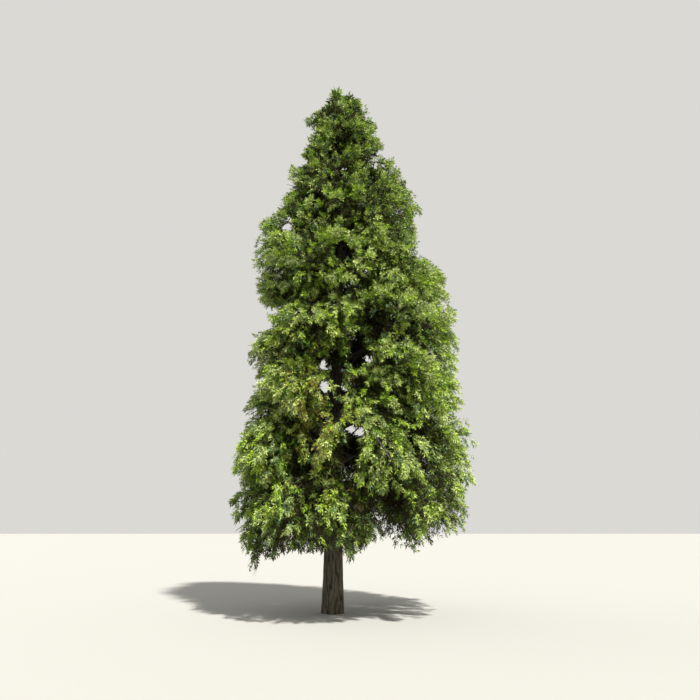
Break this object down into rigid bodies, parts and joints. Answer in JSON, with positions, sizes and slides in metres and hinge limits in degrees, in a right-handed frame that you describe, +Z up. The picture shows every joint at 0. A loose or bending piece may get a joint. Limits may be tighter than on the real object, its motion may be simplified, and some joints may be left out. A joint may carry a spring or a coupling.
{
  "type": "himalayan cypress tree",
  "caption": "Whole conifer with a fluted trunk, drooping boughs and a dense, irregular conical crown of hanging sprays.",
  "frame": {"origin": "middle of the flat cut under the trunk, at ground level", "axes": "+Z up along the trunk; -Y is the front, seen in the reference view; +X is to the right of that view"},
  "size_m": [5.133, 5.1834, 12.5981],
  "materials": {
    "bark": "fibrous grey-brown bark with long fissures",
    "bough_bark": "dark grey-brown bark",
    "foliage": "matte scale-leaf sprays, yellow-green to dark green"
  },
  "bodies": {
    "root": {"bough_1_1": "bough_bark", "bough_1_2": "bough_bark", "bough_1_3": "bough_bark", "bough_1_4": "bough_bark", "bough_1_5": "bough_bark", "bough_2_1": "bough_bark", "bough_2_2": "bough_bark", "bough_2_3": "bough_bark", "bough_2_4": "bough_bark", "bough_2_5": "bough_bark", "bough_3_1": "bough_bark", "bough_3_2": "bough_bark", "bough_3_3": "bough_bark", "bough_3_4": "bough_bark", "bough_3_5": "bough_bark", "bough_side": "bough_bark", "foliage_1_1": "foliage", "foliage_1_2": "foliage", "foliage_1_3": "foliage", "foliage_1_4": "foliage", "foliage_1_5": "foliage", "foliage_2_1": "foliage", "foliage_2_2": "foliage", "foliage_2_3": "foliage", "foliage_2_4": "foliage", "foliage_2_5": "foliage", "foliage_3_1": "foliage", "foliage_3_2": "foliage", "foliage_3_3": "foliage", "foliage_3_4": "foliage", "foliage_3_5": "foliage", "foliage_4_1": "foliage", "foliage_4_2": "foliage", "foliage_4_3": "foliage", "foliage_4_4": "foliage", "foliage_5_1": "foliage", "foliage_5_2": "foliage", "foliage_5_3": "foliage", "foliage_5_4": "foliage", "foliage_6_1": "foliage", "foliage_6_2": "foliage", "foliage_6_3": "foliage", "foliage_7_1": "foliage", "foliage_7_2": "foliage", "foliage_7_3": "foliage", "foliage_7_4": "foliage", "foliage_8_1": "foliage", "foliage_8_2": "foliage", "foliage_8_3": "foliage", "foliage_side": "foliage", "foliage_top": "foliage", "trunk": "bark"}
  },
  "joints": []
}
